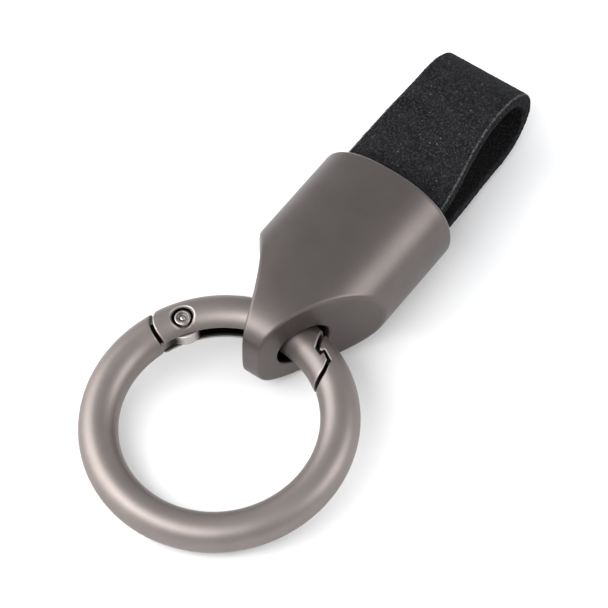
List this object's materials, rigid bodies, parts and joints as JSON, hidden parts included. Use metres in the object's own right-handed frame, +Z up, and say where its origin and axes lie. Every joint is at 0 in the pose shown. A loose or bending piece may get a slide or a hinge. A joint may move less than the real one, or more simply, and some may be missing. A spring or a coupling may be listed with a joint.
{
  "type": "snap ring key holder",
  "caption": "Round spring-gate key ring hung in the eye of an oval metal ferrule that holds a folded suede strap loop.",
  "frame": {"origin": "On the ground plane that the part lies on, under the middle of its outline.", "axes": "+X across the ferrule's width, +Y along the ferrule from its nose towards the strap loop, +Z up from the surface that it lies on."},
  "size_m": [0.035, 0.0792, 0.0146],
  "materials": {
    "gunmetal": "satin gunmetal plating on die-cast zinc",
    "steel": "plain steel",
    "suede": "short-napped black suede, matt",
    "core_board": "dark fibre board"
  },
  "bodies": {
    "holder": {"ferrule": "gunmetal", "clamp_plate": "steel", "clamp_screw_1": "steel", "clamp_screw_2": "steel", "strap_loop": "suede", "strap_core": "core_board"},
    "ring": {"ring_body": "gunmetal"},
    "gate_leaf": {"gate": "gunmetal", "rivet": "steel", "gate_spring": "steel"},
    "plunger": {"spring_plunger": "steel"}
  },
  "joints": [
    {"name": "ring_turn", "type": "hinge", "parent": "holder", "child": "ring", "pos_m": [0, -0.02229, 0.00448], "axis": [0, 0.1323, -0.9912], "range_deg": [0, 180]},
    {"name": "gate_open", "type": "hinge", "parent": "ring", "child": "gate_leaf", "pos_m": [-0.01166, -0.01374, 0.00562], "axis": [0, 0.1323, -0.9912], "range_deg": [0, 26]},
    {"name": "plunger_slide", "type": "slide", "parent": "gate_leaf", "child": "plunger", "axis": [0.5948, 0.7968, 0.1063], "range_m": [0, 0.0005], "deforming": ["gate_spring"]}
  ],
  "couplings": [
    {"joint": "gate_open", "follows": "ring_turn", "ratio": 0.14444},
    {"joint": "plunger_slide", "follows": "ring_turn", "m_per_rad": 0.00015915}
  ]
}
